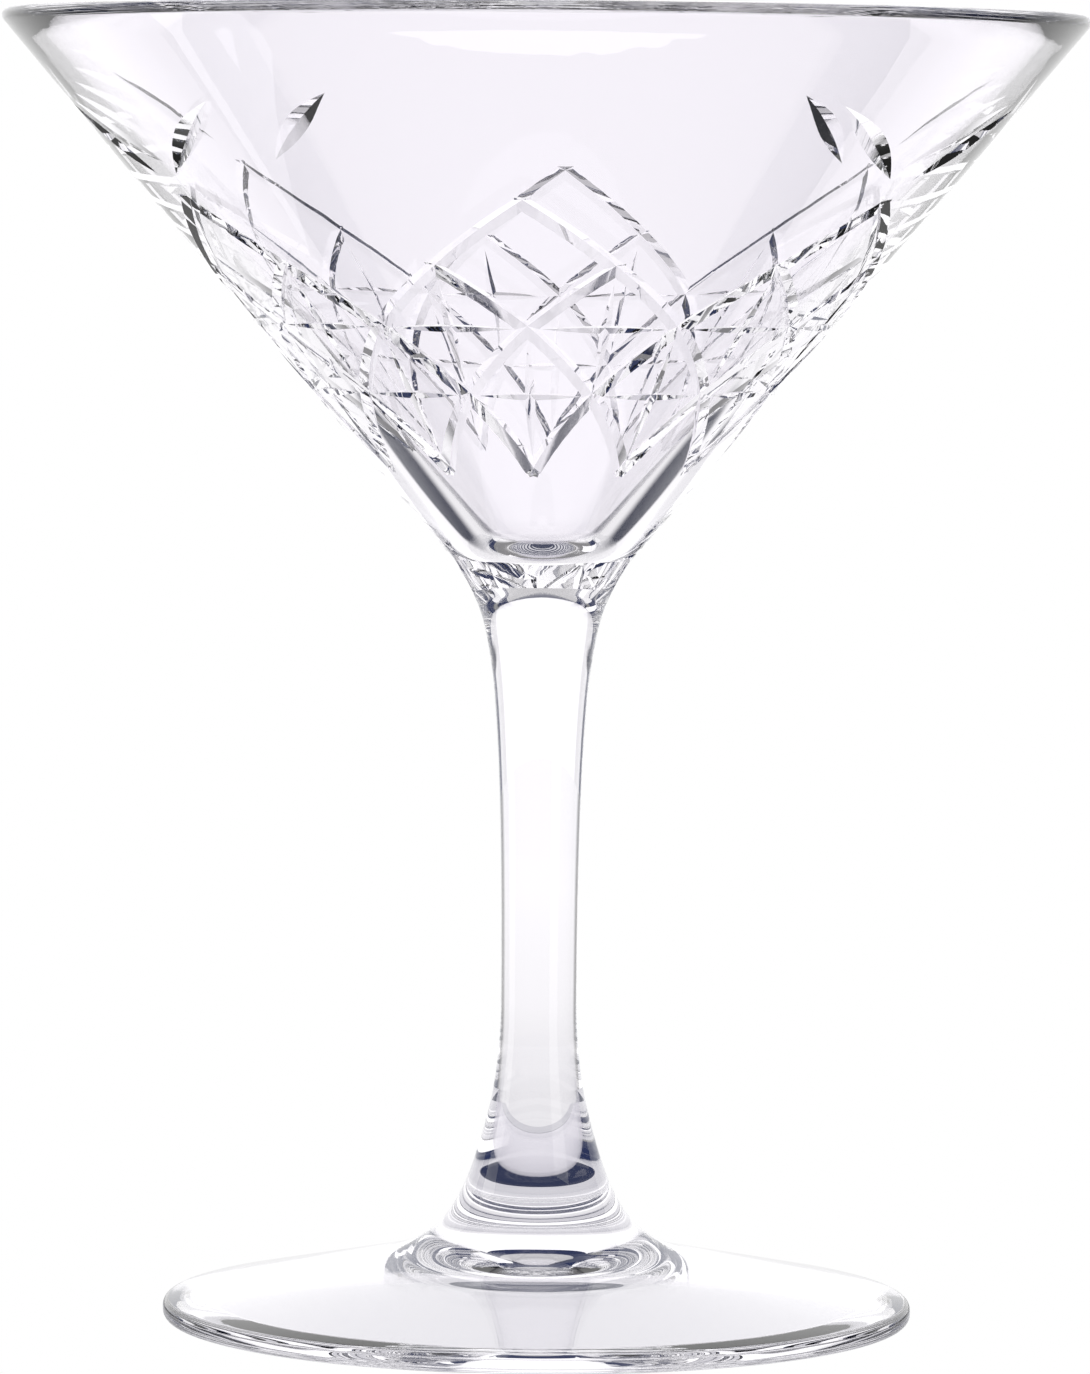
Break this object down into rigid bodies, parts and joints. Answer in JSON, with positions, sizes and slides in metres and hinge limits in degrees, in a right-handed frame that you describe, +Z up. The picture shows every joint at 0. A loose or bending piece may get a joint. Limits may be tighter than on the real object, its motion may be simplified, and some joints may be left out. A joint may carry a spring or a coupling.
{
  "type": "martini glass",
  "caption": "Stemmed cocktail glass with a wide conical bowl, a slender solid stem and a flared round foot, in clear pressed glass.",
  "frame": {"origin": "centre of the foot, on the surface that the foot stands on", "axes": "+Z up along the glass's axis of revolution, from the foot to the rim; +X and +Y are level, and the body is round about +Z"},
  "size_m": [0.118, 0.118, 0.1425],
  "materials": {
    "clear_glass": "clear pressed soda-lime glass, fire polished"
  },
  "bodies": {
    "root": {"bowl": "clear_glass", "stem": "clear_glass", "foot": "clear_glass"}
  },
  "joints": []
}
